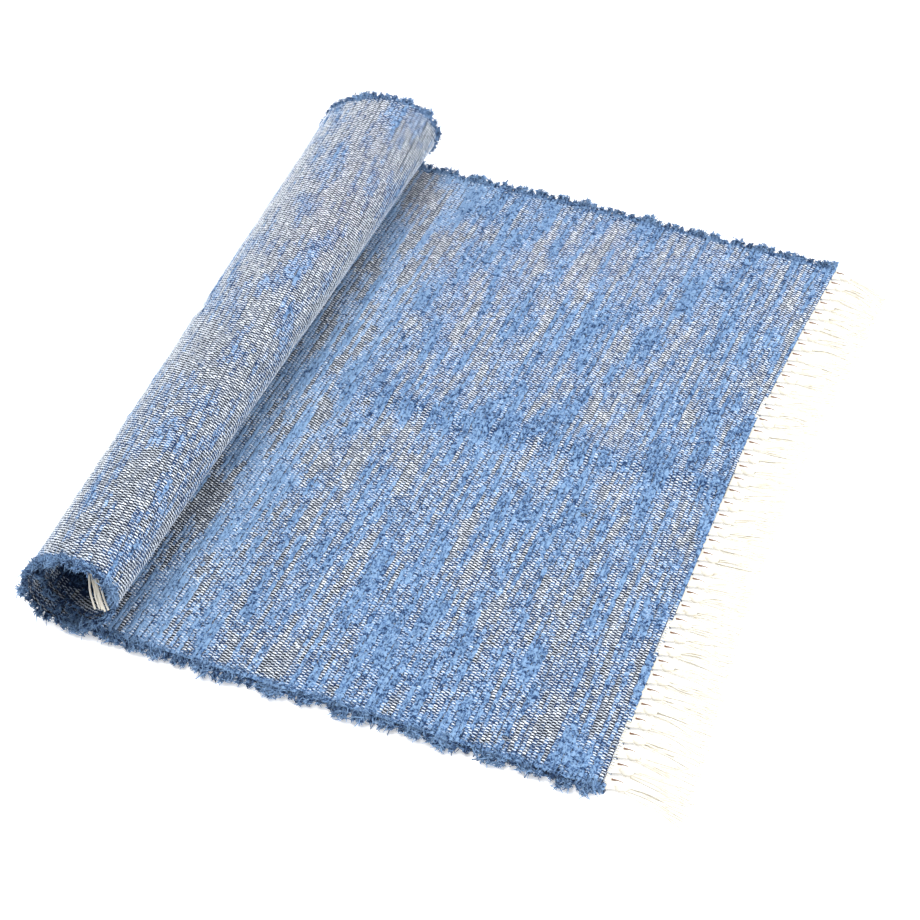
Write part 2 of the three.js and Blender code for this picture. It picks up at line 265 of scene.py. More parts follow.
TAIL_WAVES = 1.5  # half turns of the wave along a tail
TAIL_CURVE = 0.3  # share of the slant that comes late
TAIL_LIFT = {"least": 0.8, "more": 1.6}  # at the knot
TAIL_DOWN = 0.3  # share of the length after which a tail comes down to the floor
KNOT_STATIONS = 9
KNOT_SIDES = 12
KNOT_CUT = 0.08  # share of its swell that is cut off at each end
KNOT_BLUNT = 0.7  # less makes the knots blunter
KNOT_VARIETY = 0.1
KNOT_BEAT = 1.7  # radians from one knot to the next
KNOT_LOWEST = 0.1
GROOVES = 3
GROOVE_TWIST = 7  # radians along a knot
GROOVE_DEPTH = 0.12
# Tubes on the far side of each knot that carry the painted shade of the crease beside it
CREASE_STATIONS = 6
CREASE_START = 1.5
CREASE_LENGTH = 14
CREASE_ASIDE = (0.75, 0.35)  # in half widths of the knot: at the ends, and more in the middle
CREASE_HEIGHTS = (0.75, 0.25)  # in heights of the knot: at the cloth and at the far end
CREASE_RADII = (0.8, 0.2)
CREASE_SHADE_FADE = 1.5  # more keeps the painted shade dark for longer
HANG_STARTS = np.array([-2, 4, 10, 14.4])  # past the cloth's end, as far as the knot's end
HANG_STATIONS = len(HANG_STARTS) + INNER_STEPS + 1
HANG_WIDTH = 13  # of a tassel at the cloth
HANG_GATHER = np.array([1, 0.8, 0.4, 0.4, 0.5, 0.6, 0.7, 0.8])  # share of it at each station
HANG_STRAY = 0.5
MOUTH_TASSEL = [
    (-400, -283, 71),
    (-396, -286, 69),
    (-393, -289.5, 66),
    (-391, -292.5, 62.5),
    (-389, -295.5, 58.5),
    (-387, -298, 54.5),
    (-385, -300.5, 50.5),
    (-383, -302.5, 46.5),
]  # the tassel that hangs out of the near mouth
MOUTH_YARNS = 6
MOUTH_YARN = 0.85  # the radius of its yarns, with the fluff about them
MOUTH_SPREAD = (7, 12)  # how wide they lie, at the root and at the tip
MOUTH_STRAY = {"aside": 0.3, "tip": 1.5}

# Colours
YARN_GLOSS = 0.15
SHEEN_ROUGHNESS = 0.5
PILE_DEEP = (0.012, 0.03, 0.085)
PILE_BLUE = (0.09, 0.176, 0.345)
PILE_PALE = (0.195, 0.318, 0.505)
WARP_SHADE = (0.38, 0.44, 0.53)
WARP_WHITE = (0.77, 0.82, 0.88)
WARP_VEILED = (0.40, 0.53, 0.72)
# Near black between the yarns: partly the thin dark weft, partly painted shade
GAP_WEFT_AND_SHADE = (0.004, 0.006, 0.012)
WEFT_THIN = (0.02, 0.03, 0.06)
# The warp's dashes on the sheet, dim grey: painted shade where they show, inside the roll and under the
# cloth
DASH_PAINTED_SHADE = (0.26, 0.29, 0.34)
FRINGE_CREAM = (0.63, 0.59, 0.50)
FRINGE_WHITE = (0.72, 0.695, 0.625)
# Dark brown painted shade in the creases beside the knots
CREASE_SHADE_BROWN = (0.15, 0.07, 0.04)
BLUE_SHEEN = (0.6, 0.75, 1.0)
WHITE_SHEEN = (1, 1, 1)
PILE_MOTTLE = 2.6  # how strongly the pile's tone changes from fibre to fibre
DASH_HALF = 0.4  # half a painted dash's width, as a share of the warp's pitch

# Floor and lights, in metres and watts
FLOOR_REACH = 30
FLOOR_DROP = 0.0005  # below the rug, so that their faces don't meet
FLOOR_WHITE = (0.95, 0.95, 0.95, 1)
FLOOR_ROUGHNESS = 0.9
FLOOR_GLOW = 0.4
WORLD_LIGHT = 0.5
LIGHTS = {
    "overhead": {"place": (-0.3, -0.2, 2.3), "size": 1.8, "energy": 49},
    "left": {"place": (-1.7, 0.0, 1.3), "size": 1.2, "energy": 21},
    "right": {"place": (1.7, 0.1, 1.0), "size": 1.2, "energy": 40},
}

# Camera, in the working frame
CAMERA_PLACE = (320.3, -1055.9, 1194.1)
CAMERA_TARGET = (-216.2, -29.8, 0)
CAMERA_ROLL = -5.33  # degrees
LENS = 80.13
SENSOR = 36


def between(table, key, place, column):
    return np.interp(place, table[key], table[column])


def smoothstep(value, low, high):
    share = np.clip((value - low) / (high - low), 0, 1)
    return share * share * (3 - 2 * share)


# The cloth's shape


def wound_point(roll, angle):
    drawn = LAYER_PITCH * angle / (2 * math.pi)
    middle = roll["half_height"] + HALF_THICKNESS
    z = middle - (roll["half_height"] - drawn) * np.cos(angle)
    x = roll["centre"] - (roll["half_width"] - drawn) * np.sin(angle)
    return x + roll["lean"] * (z - middle), z


def roll_at(y):
    return {column: between(ROLL, "y", y, column) for column in ROLL if column != "y"}


class Cloth:
    """The centre line of the cloth at evenly spaced distances along it, for evenly spaced Y."""

    Y_REACH = 320
    Y_STEP = 8
    ALONG_STEP = 1
    PAST_THE_END = 60  # the hidden fringe sets out along the cloth's own winding
    FOLD, ANGLE = 4, 5  # columns of the table
    LAST = 1.001  # off the end of the table, for a place just before its last row

    def __init__(self):
        self.y_first = -self.Y_REACH
        self.ys = np.arange(self.y_first, self.Y_REACH + 1, self.Y_STEP)
        self.alongs = np.arange(0, CLOTH_LENGTH + self.PAST_THE_END, self.ALONG_STEP)
        self.flat_lengths = np.zeros(len(self.ys))
        columns = [self.section(row, y) for row, y in enumerate(self.ys)]
        self.table = np.array(columns)  # row, along, and x, z, normal x, normal z, fold, angle

    def section(self, row, y):
        roll = roll_at(y)
        angles = np.arange(0, MOST_WINDING, WIND_STEP)
        wound_x, wound_z = wound_point(roll, angles)
        flat_length = -wound_x[0]
        self.flat_lengths[row] = flat_length
        steps = np.hypot(np.diff(wound_x), np.diff(wound_z))
        run = flat_length + np.concatenate([[0], np.cumsum(steps)])
        flat = self.alongs <= flat_length
        bow = between(EDGE_BOW, "y", y, "out") * np.clip(1 - self.alongs / BOW_REACH, 0, 1)
        x = np.where(flat, bow - self.alongs, np.interp(self.alongs, run, wound_x))
        z = np.where(flat, HALF_THICKNESS, np.interp(self.alongs, run, wound_z))
        angle = np.where(flat, 0, np.interp(self.alongs, run, angles))
        heading = np.unwrap(np.arctan2(np.gradient(wound_z), np.gradient(wound_x)))
        heading = np.where(flat, math.pi, np.interp(self.alongs, run, heading))
        fold_flat = 1 - smoothstep(self.alongs, *FOLD_FADE)
        fold_roll = FOLD_ON_ROLL * smoothstep(angle, *FOLD_BACK)
        fold = np.where(flat, fold_flat, fold_roll)
        return np.stack([x, z, np.sin(heading), -np.cos(heading), fold, angle], axis=-1)

    def at(self, along, y):
        """The table's values at any places, straight between its rows and columns."""
        rows = np.clip((y - self.y_first) / self.Y_STEP, 0, len(self.ys) - self.LAST)
        places = np.clip(along / self.ALONG_STEP, 0, len(self.alongs) - self.LAST)
        row, place = rows.astype(int), places.astype(int)
        row_share = (rows - row)[..., None]
        share = (places - place)[..., None]
        low = self.table[row, place] * (1 - share) + self.table[row, place + 1] * share
        high = self.table[row + 1, place] * (1 - share) + self.table[row + 1, place + 1] * share
        return low * (1 - row_share) + high * row_share

    def point(self, along, y, lift):
        """Working-frame points; along, y and lift are spread to one shape."""
        along, y, lift = np.broadcast_arrays(*(np.asarray(v, float) for v in (along, y, lift)))
        values = self.at(along, y)
        raised = lift + values[..., self.FOLD] * fold_ridge(y)
        x = values[..., 0] + raised * values[..., 2]
        z = values[..., 1] + raised * values[..., 3]
        return np.stack([x, y, z], axis=-1)

    def angle(self, along, y):
        """How far round the roll a place is, in radians from where the cloth leaves the floor."""
        return self.at(along, y)[..., self.ANGLE]

    def flat_length(self, y):
        return np.interp(y, self.ys, self.flat_lengths)


def fold_ridge(y):
    off = y - FOLD["y"]
    reach = np.where(off < 0, FOLD["near_reach"], FOLD["far_reach"])
    share = np.clip(1 - np.abs(off) / reach, 0, 1)
    return FOLD["height"] * share * share * (3 - 2 * share)


def tuft_depth(along, side):
    drift, depth = (turn * along + phase * side for turn, phase in TUFT_WAVES.values())
    beat = along / TUFT_PITCH + TUFT_DRIFT * np.sin(drift)
    lump = TUFT_NOTCH + (1 - TUFT_NOTCH) * np.abs(np.sin(np.pi * beat))
    return TUFT_DEPTH * lump * (1 - TUFT_VARIETY + TUFT_VARIETY * np.sin(depth))


def selvedge(along, side):
    edge = between(SELVEDGE, "along", along, ("near", "far")[side])
    return edge - side * between(FAR_DRAWN_IN, "along", along, "more")


cloth = Cloth()
random = np.random.default_rng(SEED)

# Shift from the working frame to the part's frame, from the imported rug's own box
rug_low, rug_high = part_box("rug")
part_rings = np.arange(0, CLOTH_LENGTH + 1, PART_STEP)
edge_y = selvedge(SELVEDGE["along"][1], 0) + TUFT_INSET
lowest_tip = np.min(selvedge(part_rings, 0) - tuft_depth(part_rings, 0))
SHIFT = np.array(
    [
        rug_high.x * 1000 - between(EDGE_BOW, "y", edge_y, "out"),
        rug_low.y * 1000 - lowest_tip,
        rug_low.z * 1000,
    ]
)


# Mesh helpers


def make_piece(name, points, faces, material):
    """An object from working-frame points in millimetres and an array of faces of one size."""
    points = (np.asarray(points).reshape(-1, 3) + SHIFT) / 1000
    faces = np.asarray(faces)
    mesh = bpy.data.meshes.new(name)
    mesh.vertices.add(len(points))
    mesh.vertices.foreach_set("co", points.astype(np.float32).ravel())
    mesh.loops.add(faces.size)
    mesh.loops.foreach_set("vertex_index", faces.astype(np.int32).ravel())
    mesh.polygons.add(len(faces))
    mesh.polygons.foreach_set("loop_start", np.arange(0, faces.size, faces.shape[1], dtype=np.int32))
    mesh.update(calc_edges=True)
    mesh.validate()
    mesh.shade_smooth()
    mesh.materials.append(material)
    piece = bpy.data.objects.new(name, mesh)
    bpy.context.scene.collection.objects.link(piece)
    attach(piece, "root")
    return piece


def add_colour(piece, name, values):
    """A single number for each vertex, for the material to read."""
    attribute = piece.data.attributes.new(name, "FLOAT", "POINT")
    attribute.data.foreach_set("value", np.asarray(values, np.float32).ravel())


def strip_faces(here, ahead):
    """Quads between the points of stations and of the stations ahead of them."""
    corners = [here[..., :-1], here[..., 1:], ahead[..., 1:], ahead[..., :-1]]
    return np.stack(corners, axis=-1).reshape(-1, 4)


def tube_faces(tubes, stations, sides):
    """Quads of many open tubes, each with the same number of stations and sides."""
    index = np.arange(tubes * stations * sides).reshape(tubes, stations, sides)
    index = np.concatenate([index, index[..., :1]], axis=2)
    return strip_faces(index[:, :-1], index[:, 1:])


def tubes(paths, radii, sides):
    """Points of tubes around many paths (tube, station, xyz) with radii (tube, station)."""
    ahead = np.gradient(paths, axis=1)
    ahead /= np.linalg.norm(ahead, axis=-1, keepdims=True) + TINY
    up = np.where(np.abs(ahead[..., 2:]) > STEEP, [1.0, 0, 0], [0, 0, 1.0])
    side = np.cross(ahead, up)
    side /= np.linalg.norm(side, axis=-1, keepdims=True)
    over = np.cross(side, ahead)
    turns = np.arange(sides) * 2 * math.pi / sides
    ring = side[..., None, :] * np.cos(turns)[:, None] + over[..., None, :] * np.sin(turns)[:, None]
    return paths[..., None, :] + ring * radii[..., None, None]


def patches(u, v, seed):
    """Smooth random values between 0 and 1, one lattice cell for each unit of u and v."""
    lattice = np.random.default_rng(seed).random((LATTICE, LATTICE))
    row, column = np.floor(u).astype(int), np.floor(v).astype(int)
    a = smoothstep(u - row, 0, 1)
    b = smoothstep(v - column, 0, 1)

    def corner(i, j):
        return lattice[(row + i) % LATTICE, (column + j) % LATTICE]

    low = corner(0, 0) * (1 - b) + corner(0, 1) * b
    high = corner(1, 0) * (1 - b) + corner(1, 1) * b
    return low * (1 - a) + high * a


# Materials


class Shader:
    """A Principled material with helpers for the few nodes that the yarns use."""

    def __init__(self, name, roughness, sheen, sheen_tint):
        self.material = bpy.data.materials.new(name)
        self.material.use_nodes = True
        self.nodes = self.material.node_tree.nodes
        self.links = self.material.node_tree.links
        self.shader = self.nodes["Principled BSDF"]
        self.shader.inputs["Roughness"].default_value = roughness
        self.shader.inputs["Specular IOR Level"].default_value = YARN_GLOSS
        self.shader.inputs["Sheen Weight"].default_value = sheen
        self.shader.inputs["Sheen Roughness"].default_value = SHEEN_ROUGHNESS
        self.shader.inputs["Sheen Tint"].default_value = (*sheen_tint, 1)

    def noise(self, scale, stretch=(1, 1, 1), detail=2):
        """Noise on the object's own metres; stretch makes it longer along an axis."""
        place = self.nodes.new("ShaderNodeTexCoord")
        mapping = self.nodes.new("ShaderNodeMapping")
        mapping.inputs["Scale"].default_value = stretch
        texture = self.nodes.new("ShaderNodeTexNoise")
        texture.inputs["Scale"].default_value = scale
        texture.inputs["Detail"].default_value = detail
        self.links.new(place.outputs["Object"], mapping.inputs["Vector"])
        self.links.new(mapping.outputs["Vector"], texture.inputs["Vector"])
        return texture.outputs["Fac"]

    def ramp(self, value, stops):
        """Colours at places along a value."""
        node = self.nodes.new("ShaderNodeValToRGB")
        elements = node.color_ramp.elements
        while len(elements) < len(stops):
            elements.new(0.5)
        for element, (place, colour) in zip(elements, stops):
            element.position = place
            element.color = (*colour, 1)
        self.links.new(value, node.inputs["Fac"])
        return node.outputs["Color"]

    def attribute(self, name):
        node = self.nodes.new("ShaderNodeAttribute")
        node.attribute_name = name
        return node.outputs["Fac"]

    def math(self, operation, a, b):
        node = self.nodes.new("ShaderNodeMath")
        node.operation = operation
        for socket, value in zip(node.inputs, (a, b)):
            if isinstance(value, (int, float)):
                socket.default_value = value
            else:
                self.links.new(value, socket)
        return node.outputs["Value"]

    def mix(self, share, a, b):
        node = self.nodes.new("ShaderNodeMix")
        node.data_type = "RGBA"
        self.links.new(share, node.inputs["Factor"])
        for name, value in (("A", a), ("B", b)):
            socket = [s for s in node.inputs if s.name == name and s.type == "RGBA"][0]
            if isinstance(value, tuple):
                socket.default_value = (*value, 1)
            else:
                self.links.new(value, socket)
        return [s for s in node.outputs if s.type == "RGBA"][0]

    def colour(self, value):
        self.links.new(value, self.shader.inputs["Base Color"])

    def bump(self, height, strength, distance):
        node = self.nodes.new("ShaderNodeBump")
        node.inputs["Strength"].default_value = strength
        node.inputs["Distance"].default_value = distance
        self.links.new(height, node.inputs["Height"])
        self.links.new(node.outputs["Normal"], self.shader.inputs["Normal"])


def pile_material():
    shader = Shader("chenille_pile", roughness=0.95, sheen=0.18, sheen_tint=BLUE_SHEEN)
    mottle = shader.math("SUBTRACT", shader.noise(scale=550, detail=3), 0.5)
    mottle = shader.math("MULTIPLY", mottle, PILE_MOTTLE)
    # The vertex value carries the pile's own random tone together with painted shade and light
    tone_and_shade = shader.math("ADD", mottle, shader.attribute("tone_and_shade"))
    shader.colour(shader.ramp(tone_and_shade, [(0.15, PILE_DEEP), (0.5, PILE_BLUE), (0.85, PILE_PALE)]))
    shader.bump(shader.noise(scale=1100, detail=4), strength=0.8, distance=0.0008)
    return shader.material


def warp_material():
    shader = Shader("warp_cotton", roughness=0.9, sheen=0.12, sheen_tint=WHITE_SHEEN)
    spun = shader.noise(scale=600, detail=3)
    cotton = shader.ramp(spun, [(0.35, WARP_SHADE), (0.55, WARP_WHITE)])
    shader.colour(shader.mix(shader.attribute("veil"), cotton, WARP_VEILED))
    shader.bump(shader.noise(scale=2600, stretch=(1, 3, 1)), strength=0.3, distance=0.0003)
    return shader.material


def cloth_material():
    """The sheet under the yarns: thin dark weft, near black in the gaps as painted shade between the
    yarns, with the warp's dashes on it in dim grey as painted shade.
    """
    shader = Shader("woven_ground", roughness=0.95, sheen=0.1, sheen_tint=BLUE_SHEEN)
    uv = shader.nodes.new("ShaderNodeUVMap")
    uv.uv_map = "weave"
    split = shader.nodes.new("ShaderNodeSeparateXYZ")
    shader.links.new(uv.outputs["UV"], split.inputs["Vector"])
    weft, warp = split.outputs["X"], split.outputs["Y"]
    row = shader.math("FLOOR", weft, 0)
    column = shader.math("FLOOR", warp, 0)
    odd = shader.math("MODULO", shader.math("ADD", row, column), 2)
    across = shader.math("ABSOLUTE", shader.math("SUBTRACT", shader.math("FRACT", warp, 0), 0.5), 0)
    dash = shader.math("MULTIPLY", shader.math("LESS_THAN", across, DASH_HALF), odd)
    thin = shader.noise(scale=150, stretch=(1, 0.3, 1), detail=4)
    # near black patches in the ground are painted shade between the yarns
    weft_ground = shader.ramp(thin, [(0.42, GAP_WEFT_AND_SHADE), (0.62, WEFT_THIN)])
    # the warp's dashes in dim grey, as painted shade
    shader.colour(shader.mix(dash, weft_ground, DASH_PAINTED_SHADE))
    return shader.material


def fringe_material():
    shader = Shader("fringe_cotton", roughness=0.85, sheen=0.15, sheen_tint=WHITE_SHEEN)
    spun = shader.noise(scale=260, detail=3)
    yarn = shader.ramp(spun, [(0.3, FRINGE_CREAM), (0.6, FRINGE_WHITE)])
    # the vertex value crease paints the shade beside each knot in dark brown
    shader.colour(shader.mix(shader.attribute("crease"), yarn, CREASE_SHADE_BROWN))
    shader.bump(shader.noise(scale=1800, stretch=(3, 1, 1)), strength=0.4, distance=0.0004)
    return shader.material


pile = pile_material()
warp = warp_material()
ground = cloth_material()
fringe = fringe_material()


# Cloth sheet


def make_sheet():
    rows = int(CLOTH_LENGTH / WEFT_PITCH) + 1
    along = np.linspace(0, CLOTH_LENGTH, rows)
    half_width = CLOTH_WIDTH / 2
    places = np.arange(-half_width, half_width + 1, SHEET_COLUMN)
    fold_places = np.arange(FOLD["y"] - FOLD["near_reach"], FOLD["y"] + FOLD["far_reach"], FOLD_COLUMN)
    away = (places < fold_places[0]) | (places > fold_places[-1])
    share = (np.sort(np.concatenate([places[away], fold_places])) + half_width) / CLOTH_WIDTH
    columns = len(share)
    y = selvedge(along, 0)[:, None] * (1 - share) + selvedge(along, 1)[:, None] * share
    thin = np.where((share == 0) | (share == 1), EDGE_CLOSED, 1)
    thin = thin * np.where(along < END_THIN, END_CLOSED, 1)[:, None]
    upper = cloth.point(along[:, None], y, SHEET_HALF * thin)
    under = cloth.point(along[:, None], y, -SHEET_HALF * thin)
    count = rows * columns
    index = np.arange(count).reshape(rows, columns)
    loop = np.concatenate([index[0], index[1:, -1], index[-1, -2::-1], index[-2:0:-1, 0]])
    ahead = np.roll(loop, -1)
    rim = np.stack([ahead, loop, loop + count, ahead + count], axis=-1)
    upper_faces = strip_faces(index[:-1], index[1:])
    faces = np.concatenate([upper_faces, upper_faces[:, ::-1] + count, rim])
    piece = make_piece("cloth", np.stack([upper, under]), faces, ground)
    weft = np.stack([along / WEFT_PITCH + 1, along / WEFT_PITCH])[:, :, None]  # the faces alternate
    place = np.stack([y, y]) / WARP_PITCH + UV_START
    uv = np.stack(np.broadcast_arrays(weft, place), axis=-1).reshape(-1, 2)
    layer = piece.data.uv_layers.new(name="weave")
    corners = np.zeros(len(piece.data.loops), np.int32)
    piece.data.loops.foreach_get("vertex_index", corners)
    layer.data.foreach_set("uv", uv[corners].astype(np.float32).ravel())
    return piece


# Weave on the sheet: floats of the warp, and pile of the weft


def cover_level(along, y, face):
    if face < 0:
        return np.where(along < cloth.flat_length(0), COVER_UNDER, COVER_ON_ROLL)
    # Beside the fold, more or less cover paints the fold's shade and light
    flat = between(COVER, "along", along, "flat") + between(FOLD_PAINTED_SHADING, "y", y, "more")
    # Inside the mouths the cover deepens away from the selvedge: painted shade
    mouth = between(COVER_AND_SHADE_IN_MOUTH, "depth", edge_distance(along, y), "level")
    return np.where(along < cloth.flat_length(y), flat, mouth)


def layer_at(layer, weft, y, face=1):
    """A layer's random patches for weft numbers and Y on one face."""
    row, column = layer["start"]
    u = weft * layer["cells"] + layer["shift"] * face + row
    v = y / layer["length"][0 if face > 0 else 1] + column
    return patches(u, v, layer["seed"])


def weft_place(weft, y):
    """Distance along the cloth of a weft's middle, a little wavy."""
    wave = layer_at(WAVE_LAYER, weft, y) - 0.5
    return (weft + 0.5 + WEFT_WAVE * wave) * WEFT_PITCH


def clear_of_holes(along, y):
    distances = [np.hypot(along - hole_along, y - hole_y) for hole_along, hole_y in HOLES]
    return np.min(distances, axis=0) > HOLE_RADIUS


def edge_distance(along, y):
    return np.minimum(y - selvedge(along, 0), selvedge(along, 1) - y)


def cover_at(weft, along, y, face):
    """Thickness of the pile, from 0 to 1, for weft numbers and Y: in streaks along the weft."""
    value = -COVER_MIDDLE
    for layer in COVER_LAYERS:
        value = value + layer["share"] * layer_at(layer, weft, y, face)
    contrast = COVER_CONTRAST if face > 0 else CONTRAST_ON_ROLL
    value = contrast * value + cover_level(along, y, face)
    at_edge = SELVEDGE_MORE - edge_distance(along, y) / SELVEDGE_COVER
    return np.clip(np.maximum(value, at_edge), 0, 1)


def make_floats(name, face, first, last, seen):
    """White floats on one face (1 upper, -1 under) between two wefts, where seen(along, y) holds."""
    weft, end = np.meshgrid(np.arange(first, last), np.arange(*WARP_ENDS), indexing="ij")
    keep = (weft + end) % 2 == (0 if face > 0 else 1)
    weft, end = weft[keep], end[keep]
    y = (end + 0.5) * WARP_PITCH + random.normal(0, FLOAT_STRAY["y"], weft.size)
    along = weft_place(weft, y) + random.normal(0, FLOAT_STRAY["along"], weft.size)
    cover = cover_at(weft, along, y, face)
    keep = (edge_distance(along, y) > FLOAT_MARGIN) & (cover < PILE_HIDES)
    keep &= clear_of_holes(along, y) & seen(along, y)
    along, y, cover = along[keep], y[keep], cover[keep][:, None]
    size = np.clip(random.normal(1, FLOAT_STRAY["size"], (along.size, 1)), *FLOAT_SIZES)
    size = np.where(random.random(size.shape) < SLUB_SHARE, SLUB_SIZE, size)
    half_length = FLOAT_HALF_LENGTH * random.normal(1, FLOAT_STRAY["length"], size.shape)
    reach = along[:, None] + FLOAT_SHAPE[:, 0] * half_length
    reach = np.clip(reach, 0, CLOTH_LENGTH)
    across = y[:, None] + FLOAT_SLANT * (reach - along[:, None])
    half_width = FLOAT_HALF_WIDTH * (1 if face > 0 else FLOAT_ON_ROLL)
    across += FLOAT_SHAPE[:, 1] * half_width * size * (1 - FLOAT_BURIED * cover)
    lift = np.array(FLOAT_LIFTS)[FLOAT_SHAPE[:, 2].astype(int)] * (1 + FLOAT_LIFTED * (size - 1))
    points = cloth.point(reach, across, face * np.minimum(lift, HALF_THICKNESS))
    faces = (np.arange(along.size)[:, None, None] * len(FLOAT_SHAPE) + FLOAT_FACES).reshape(-1, 3)
    if face < 0:
        faces = faces[:, ::-1]
    piece = make_piece(name, points, faces, warp)
    add_colour(piece, "veil", np.repeat(cover**VEIL_POWER, len(FLOAT_SHAPE), axis=1))
    return piece


def make_pile(name, face, first, last, seen, step=PILE_STEP, painted_shading=0):
    """Runs of soft weft on one face: low lumpy ridges along Y, as high as the cover is strong."""
    wefts = np.arange(first, last)
    ys = np.arange(*PILE_Y, step)
    weft, y = np.meshgrid(wefts, ys, indexing="ij")
    along = weft_place(weft, y)
    cover = cover_at(weft, along, y, face)
    shown = (cover > PILE_LEAST) & (edge_distance(along, y) > -PILE_PAST_EDGE)
    shown &= clear_of_holes(along, y) & seen(along, y)
    width = between(PILE, "cover", cover, "half_width")
    width = width * random.normal(1, PILE_STRAY["width"], weft.shape)
    height = between(PILE, "cover", cover, "lift") - SHEET_HALF
    height = height * random.normal(1, PILE_STRAY["height"], weft.shape)
    clear = face > 0 or cloth.angle(along, y) > OFF_THE_FLOOR
    most = HALF_THICKNESS + PILE_OVER * np.asarray(clear)
    lean = random.normal(0, PILE_STRAY["lean"], weft.shape)
    reach = along[..., None] + lean[..., None] + PILE_SECTION[:, 0] * width[..., None]
    lift = SHEET_HALF + PILE_SECTION[:, 1] * height[..., None]
    lift = np.minimum(lift, np.broadcast_to(most, weft.shape)[..., None])
    points = cloth.point(np.clip(reach, 0, CLOTH_LENGTH), y[..., None], face * lift)
    sides = len(PILE_SECTION)
    index = np.arange(weft.size * sides).reshape(len(wefts), len(ys), sides)
    run = shown[:, :-1] & shown[:, 1:]
    faces = strip_faces(index[:, :-1][run], index[:, 1:][run])
    if face < 0:
        faces = faces[:, ::-1]
    used, faces = np.unique(faces, return_inverse=True)
    piece = make_piece(name, points.reshape(-1, 3)[used], faces.reshape(-1, 4), pile)
    # The pile's tone: paler where the pile is thicker, and darkened inside the mouths as painted shade
    tone_and_shade = PILE_TONE["thick"] * cover + PILE_TONE["least"] + painted_shading
    tone_and_shade = tone_and_shade + random.normal(0, PILE_STRAY["tone_and_shade"], cover.shape)
    if face > 0:
        # Painted light near the roll's crease, and painted light and shade beside the fold
        more = between(COVER, "along", along, "painted_shading") + between(FOLD_PAINTED_SHADING, "y", y, "painted_shading")
        tone_and_shade += np.where(along < cloth.flat_length(y), more, 0)
    # painted shade on the sides of each run, painted light on its top
    tone_and_shade = tone_and_shade[..., None] + PILE_SHADE_ACROSS
    add_colour(piece, "tone_and_shade", tone_and_shade.ravel()[used])
    return piece


def make_fuzz(name, face, first, last, seen, tries):
    """Short fibres that stand off the thick pile, one thin triangle each."""
    weft = random.integers(first, last, tries)
    y = random.uniform(*FUZZ_Y, tries)
    along = weft_place(weft, y) + random.normal(0, FUZZ_STRAY, tries)
    cover = cover_at(weft, along, y, face)
    keep = (random.random(tries) < cover) & (cover > PILE_LEAST) & (edge_distance(along, y) > 0)
    keep &= clear_of_holes(along, y) & seen(along, y)
    along, y, cover = along[keep], y[keep], cover[keep]
    turn = random.uniform(0, 2 * math.pi, along.size)
    length = FUZZ_LENGTH * random.uniform(*FUZZ_LENGTHS, along.size)
    half_width = FUZZ_HALF_WIDTH * random.uniform(*FUZZ_WIDTHS, along.size)
    low = between(PILE, "cover", cover, "lift") - FUZZ_ROOT
    high = low + random.uniform(*FUZZ_RISE, along.size)
    wide_along, wide_y = half_width * np.sin(turn), half_width * np.cos(turn)
    tip_along, tip_y = along + length * np.cos(turn), y + length * np.sin(turn)
    reach = np.stack([along - wide_along, along + wide_along, tip_along], axis=-1)
    across = np.stack([y + wide_y, y - wide_y, tip_y], axis=-1)
    lift = np.stack([low, low, high], axis=-1)
    points = cloth.point(np.clip(reach, 0, CLOTH_LENGTH), across, face * lift)
    piece = make_piece(name, points, np.arange(points.size // 3).reshape(-1, 3), pile)
    # random tone for each hair, with the tip lighter as painted light
    tone_and_shade = random.uniform(*FUZZ_TONES, (along.size, 1)) + np.array([0, 0, FUZZ_TIP_PAINTED_LIGHT])
    add_colour(piece, "tone_and_shade", tone_and_shade)
    return piece


def everywhere(along, y):
    return np.ones(np.shape(along), bool)


def in_mouth(along, y):
    return (edge_distance(along, y) < MOUTH_DEPTH) & (along > cloth.flat_length(y))


def on_outer_turn(along, y):
    return cloth.angle(along, y) < OUTER_TURN


CREASE_WEFT = round(cloth.flat_length(0) / WEFT_PITCH)
FLAT_WEFTS = CREASE_WEFT + WEFTS_INTO_ROLL
ROLL_WEFT = CREASE_WEFT - WEFTS_BEFORE_ROLL
FUZZ_WEFT = CREASE_WEFT + WEFTS_TO_FUZZ
ALL_WEFTS = int(CLOTH_LENGTH / WEFT_PITCH)

sheet = make_sheet()
weave = [
    make_floats("warp_floats_open", 1, 0, FLAT_WEFTS // 2, everywhere),
    make_floats("warp_floats_middle", 1, FLAT_WEFTS // 2, FLAT_WEFTS, everywhere),
    make_floats("warp_floats_roll", -1, ROLL_WEFT, ALL_WEFTS, on_outer_turn),
    make_floats("warp_floats_mouths", 1, FLAT_WEFTS, ALL_WEFTS, in_mouth),
    make_pile("weft_pile_flat", 1, 0, FLAT_WEFTS, everywhere),
    make_pile("weft_pile_roll", -1, ROLL_WEFT, ALL_WEFTS, on_outer_turn),
    make_pile("weft_pile_mouths", 1, FLAT_WEFTS, ALL_WEFTS, in_mouth, painted_shading=MOUTH_PILE_PAINTED_SHADE),
    make_pile("weft_pile_under", -1, 0, ROLL_WEFT, everywhere, step=2 * PILE_STEP),
    make_fuzz("weft_fuzz_flat", 1, 0, FLAT_WEFTS, everywhere, FUZZ_TRIES["flat"]),
    make_fuzz("weft_fuzz_roll", -1, FUZZ_WEFT, ALL_WEFTS, on_outer_turn, FUZZ_TRIES["roll"]),
]


# Loops and fibres of the selvedges


